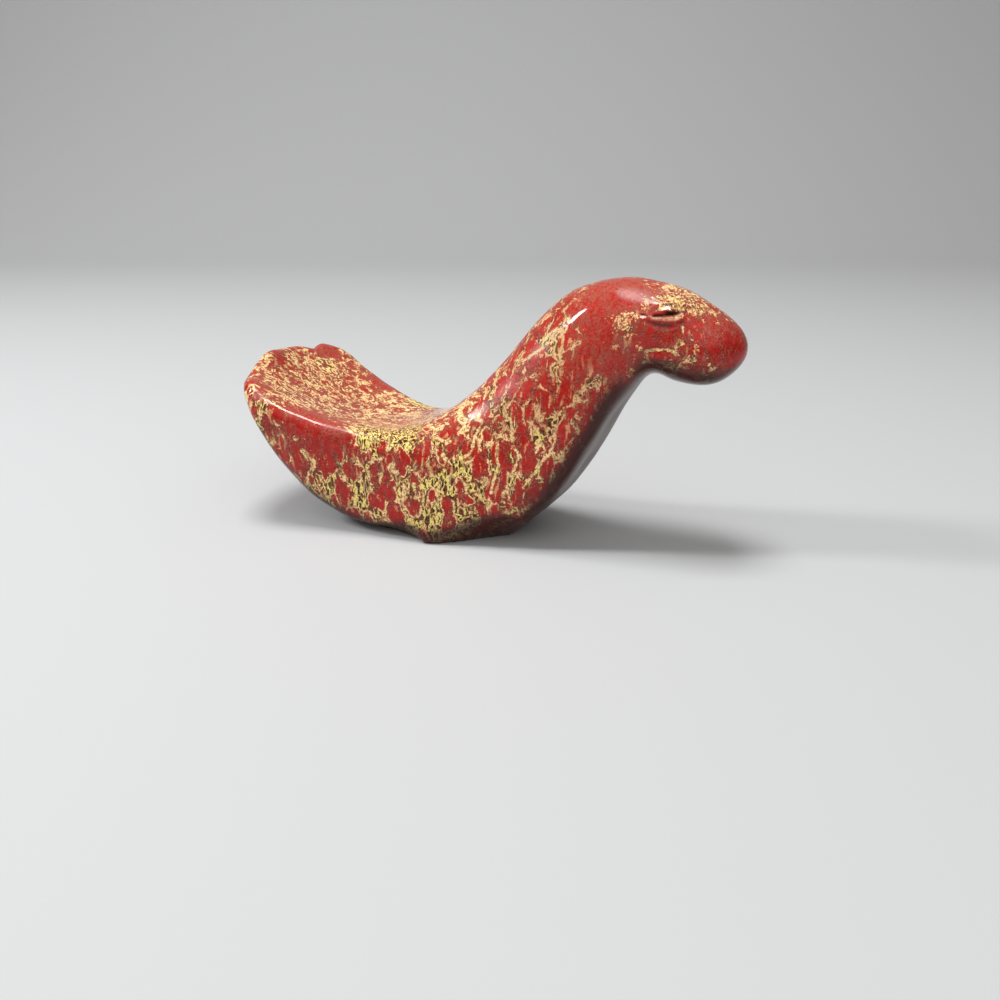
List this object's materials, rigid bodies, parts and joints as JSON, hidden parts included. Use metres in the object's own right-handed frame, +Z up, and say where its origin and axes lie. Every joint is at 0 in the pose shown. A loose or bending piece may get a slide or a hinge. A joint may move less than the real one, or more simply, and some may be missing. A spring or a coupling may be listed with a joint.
{
  "type": "ceramic seal figurine",
  "caption": "Glazed ceramic ornament of a seal lying on its belly, with raised tail fan, upright neck and egg-shaped head.",
  "frame": {"origin": "on the flat underside, about under the point where the seal balances", "axes": "+X from the tail to the head, +Z up, -Y to the seal's right"},
  "size_m": [0.156, 0.0573, 0.0805],
  "materials": {
    "glaze": "glossy red drip glaze, crawled into a net of yellow and cream veins with brown and olive speckle"
  },
  "bodies": {
    "root": {"seal": "glaze"}
  },
  "joints": []
}
